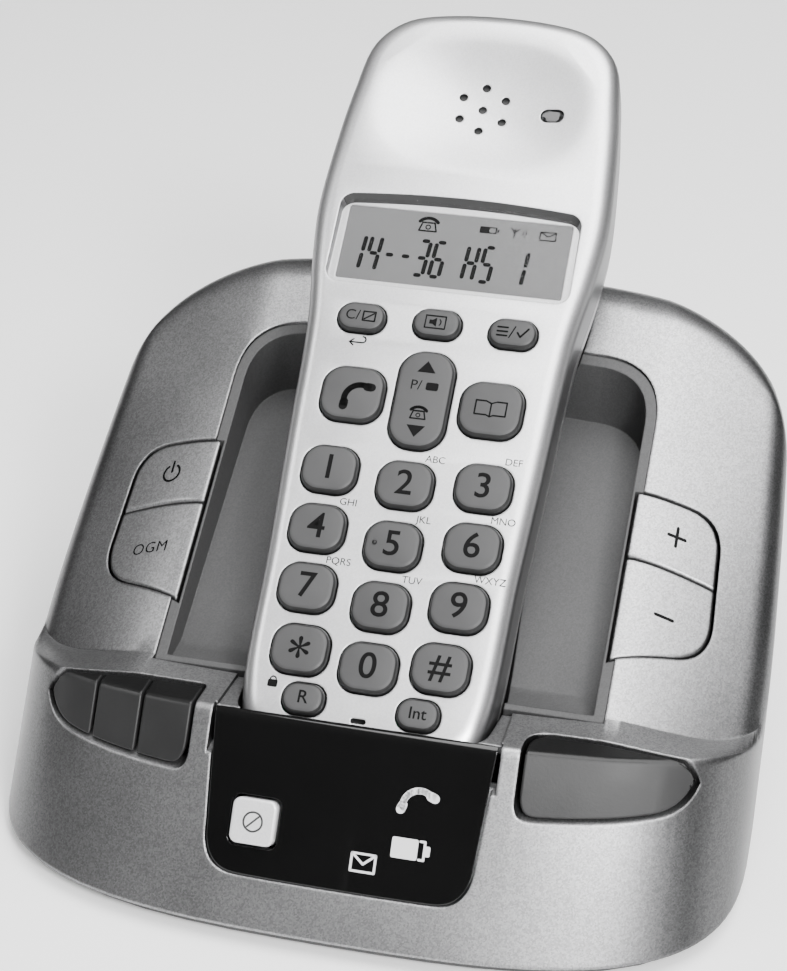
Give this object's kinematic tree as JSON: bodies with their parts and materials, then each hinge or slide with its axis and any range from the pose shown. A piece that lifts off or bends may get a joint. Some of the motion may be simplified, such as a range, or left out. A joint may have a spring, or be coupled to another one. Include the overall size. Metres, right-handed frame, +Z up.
{
  "type": "cordless phone with charging base",
  "caption": "Cordless phone handset leaning in a wide silver charging base with an arched back, a black display panel and answering machine keys.",
  "frame": {"origin": "on the surface the feet stand on, under the middle of the whole object's box", "axes": "+X to the object's right as seen from the front, +Y to its back, +Z up"},
  "size_m": [0.131, 0.1462, 0.112],
  "materials": {
    "silver_paint": "satin metallic paint on plastic",
    "light_silver_paint": "satin metallic paint on plastic",
    "handset_back_silver": "satin metallic paint on plastic",
    "cradle_grey": "satin metallic paint on plastic",
    "tray_plastic": "fine texture",
    "black_gloss": "polished",
    "dark_key": "satin",
    "grey_key": "satin",
    "handset_key_rubber": "satin",
    "foot_rubber": "matte",
    "circuit_board": "solder mask",
    "black_plastic": "satin",
    "contact_metal": "polished",
    "screw_steel": "zinc plated",
    "key_mat_rubber": "matte",
    "display_window": "polished",
    "display_glass": "satin",
    "lamp_plastic": "polished",
    "cell_wrap": "printed wrap"
  },
  "bodies": {
    "base": {"base_cover": "silver_paint", "base_tray": "tray_plastic", "cradle_liner": "cradle_grey", "display_panel": "black_gloss", "foot_front_left": "foot_rubber", "foot_front_right": "foot_rubber", "foot_back_left": "foot_rubber", "foot_back_right": "foot_rubber", "base_board": "circuit_board", "base_speaker": "black_plastic", "line_socket": "black_plastic", "power_socket": "black_plastic", "charge_spring_left": "contact_metal", "charge_spring_right": "contact_metal", "tray_screw_left": "screw_steel", "tray_screw_right": "screw_steel"},
    "handset": {"handset_front_shell": "light_silver_paint", "handset_back_shell": "handset_back_silver", "battery_cell_left": "cell_wrap", "battery_cell_right": "cell_wrap", "key_mat": "key_mat_rubber", "handset_board": "circuit_board", "display_lens": "display_window", "display_module": "display_glass", "earpiece": "black_plastic", "lamp_window": "lamp_plastic", "microphone": "black_plastic", "charge_pad_left": "contact_metal", "charge_pad_right": "contact_metal"},
    "battery_door": {"battery_door": "handset_back_silver"},
    "key_soft_left": {"key_soft_left": "handset_key_rubber"},
    "key_soft_middle": {"key_soft_middle": "handset_key_rubber"},
    "key_soft_right": {"key_soft_right": "handset_key_rubber"},
    "key_call": {"key_call": "handset_key_rubber"},
    "key_phonebook": {"key_phonebook": "handset_key_rubber"},
    "key_1": {"key_1": "handset_key_rubber"},
    "key_2": {"key_2": "handset_key_rubber"},
    "key_3": {"key_3": "handset_key_rubber"},
    "key_4": {"key_4": "handset_key_rubber"},
    "key_5": {"key_5": "handset_key_rubber"},
    "key_6": {"key_6": "handset_key_rubber"},
    "key_7": {"key_7": "handset_key_rubber"},
    "key_8": {"key_8": "handset_key_rubber"},
    "key_9": {"key_9": "handset_key_rubber"},
    "key_star": {"key_star": "handset_key_rubber"},
    "key_0": {"key_0": "handset_key_rubber"},
    "key_hash": {"key_hash": "handset_key_rubber"},
    "key_recall": {"key_recall": "handset_key_rubber"},
    "key_intercom": {"key_intercom": "handset_key_rubber"},
    "key_rocker": {"key_rocker": "handset_key_rubber"},
    "front_key_inner": {"front_key_inner": "dark_key"},
    "front_key_middle": {"front_key_middle": "dark_key"},
    "front_key_outer": {"front_key_outer": "dark_key"},
    "play_key": {"play_key": "grey_key"},
    "power_key": {"power_key": "silver_paint"},
    "greeting_key": {"greeting_key": "silver_paint"},
    "volume_up_key": {"volume_up_key": "silver_paint"},
    "volume_down_key": {"volume_down_key": "silver_paint"},
    "page_key": {"page_key": "light_silver_paint"}
  },
  "joints": [
    {"name": "handset_lift", "type": "slide", "parent": "base", "child": "handset", "axis": [0, 0.809, 0.5878], "range_m": [0, 0.14]},
    {"name": "battery_door_slide", "type": "slide", "parent": "handset", "child": "battery_door", "axis": [0, -0.809, -0.5878], "range_m": [0, 0.0026]},
    {"name": "key_soft_left_press", "type": "slide", "parent": "handset", "child": "key_soft_left", "axis": [0, 0.5878, -0.809], "range_m": [0, 0.0006], "stiffness_N_per_m": 150},
    {"name": "key_soft_middle_press", "type": "slide", "parent": "handset", "child": "key_soft_middle", "axis": [0, 0.5878, -0.809], "range_m": [0, 0.0006], "stiffness_N_per_m": 150},
    {"name": "key_soft_right_press", "type": "slide", "parent": "handset", "child": "key_soft_right", "axis": [0, 0.5878, -0.809], "range_m": [0, 0.0006], "stiffness_N_per_m": 150},
    {"name": "key_call_press", "type": "slide", "parent": "handset", "child": "key_call", "axis": [0, 0.5878, -0.809], "range_m": [0, 0.0006], "stiffness_N_per_m": 150},
    {"name": "key_phonebook_press", "type": "slide", "parent": "handset", "child": "key_phonebook", "axis": [0, 0.5878, -0.809], "range_m": [0, 0.0006], "stiffness_N_per_m": 150},
    {"name": "key_1_press", "type": "slide", "parent": "handset", "child": "key_1", "axis": [0, 0.5878, -0.809], "range_m": [0, 0.0006], "stiffness_N_per_m": 150},
    {"name": "key_2_press", "type": "slide", "parent": "handset", "child": "key_2", "axis": [0, 0.5878, -0.809], "range_m": [0, 0.0006], "stiffness_N_per_m": 150},
    {"name": "key_3_press", "type": "slide", "parent": "handset", "child": "key_3", "axis": [0, 0.5878, -0.809], "range_m": [0, 0.0006], "stiffness_N_per_m": 150},
    {"name": "key_4_press", "type": "slide", "parent": "handset", "child": "key_4", "axis": [0, 0.5878, -0.809], "range_m": [0, 0.0006], "stiffness_N_per_m": 150},
    {"name": "key_5_press", "type": "slide", "parent": "handset", "child": "key_5", "axis": [0, 0.5878, -0.809], "range_m": [0, 0.0006], "stiffness_N_per_m": 150},
    {"name": "key_6_press", "type": "slide", "parent": "handset", "child": "key_6", "axis": [0, 0.5878, -0.809], "range_m": [0, 0.0006], "stiffness_N_per_m": 150},
    {"name": "key_7_press", "type": "slide", "parent": "handset", "child": "key_7", "axis": [0, 0.5878, -0.809], "range_m": [0, 0.0006], "stiffness_N_per_m": 150},
    {"name": "key_8_press", "type": "slide", "parent": "handset", "child": "key_8", "axis": [0, 0.5878, -0.809], "range_m": [0, 0.0006], "stiffness_N_per_m": 150},
    {"name": "key_9_press", "type": "slide", "parent": "handset", "child": "key_9", "axis": [0, 0.5878, -0.809], "range_m": [0, 0.0006], "stiffness_N_per_m": 150},
    {"name": "key_star_press", "type": "slide", "parent": "handset", "child": "key_star", "axis": [0, 0.5878, -0.809], "range_m": [0, 0.0006], "stiffness_N_per_m": 150},
    {"name": "key_0_press", "type": "slide", "parent": "handset", "child": "key_0", "axis": [0, 0.5878, -0.809], "range_m": [0, 0.0006], "stiffness_N_per_m": 150},
    {"name": "key_hash_press", "type": "slide", "parent": "handset", "child": "key_hash", "axis": [0, 0.5878, -0.809], "range_m": [0, 0.0006], "stiffness_N_per_m": 150},
    {"name": "key_recall_press", "type": "slide", "parent": "handset", "child": "key_recall", "axis": [0, 0.5878, -0.809], "range_m": [0, 0.0006], "stiffness_N_per_m": 150},
    {"name": "key_intercom_press", "type": "slide", "parent": "handset", "child": "key_intercom", "axis": [0, 0.5878, -0.809], "range_m": [0, 0.0006], "stiffness_N_per_m": 150},
    {"name": "key_rocker_tilt", "type": "hinge", "parent": "handset", "child": "key_rocker", "pos_m": [0, 0.00004, 0.06282], "axis": [1, 0, 0], "range_deg": [-2.5, 2.5], "stiffness_Nm_per_rad": 0.02},
    {"name": "front_key_inner_press", "type": "slide", "parent": "base", "child": "front_key_inner", "axis": [0, 0.7989, -0.6014], "range_m": [0, 0.0003], "stiffness_N_per_m": 200},
    {"name": "front_key_middle_press", "type": "slide", "parent": "base", "child": "front_key_middle", "axis": [0, 0.7989, -0.6014], "range_m": [0, 0.0003], "stiffness_N_per_m": 200},
    {"name": "front_key_outer_press", "type": "slide", "parent": "base", "child": "front_key_outer", "axis": [0, 0.7989, -0.6014], "range_m": [0, 0.0003], "stiffness_N_per_m": 200},
    {"name": "play_key_press", "type": "slide", "parent": "base", "child": "play_key", "axis": [0, 0.7989, -0.6014], "range_m": [0, 0.0003], "stiffness_N_per_m": 200},
    {"name": "power_key_press", "type": "slide", "parent": "base", "child": "power_key", "axis": [0, 0, -1], "range_m": [0, 0.0008], "stiffness_N_per_m": 200},
    {"name": "greeting_key_press", "type": "slide", "parent": "base", "child": "greeting_key", "axis": [0, 0, -1], "range_m": [0, 0.0008], "stiffness_N_per_m": 200},
    {"name": "volume_up_key_press", "type": "slide", "parent": "base", "child": "volume_up_key", "axis": [0, 0, -1], "range_m": [0, 0.0008], "stiffness_N_per_m": 200},
    {"name": "volume_down_key_press", "type": "slide", "parent": "base", "child": "volume_down_key", "axis": [0, 0, -1], "range_m": [0, 0.0008], "stiffness_N_per_m": 200},
    {"name": "page_key_press", "type": "slide", "parent": "base", "child": "page_key", "axis": [0, 0.7989, -0.6014], "range_m": [0, 0.0008], "stiffness_N_per_m": 200}
  ]
}
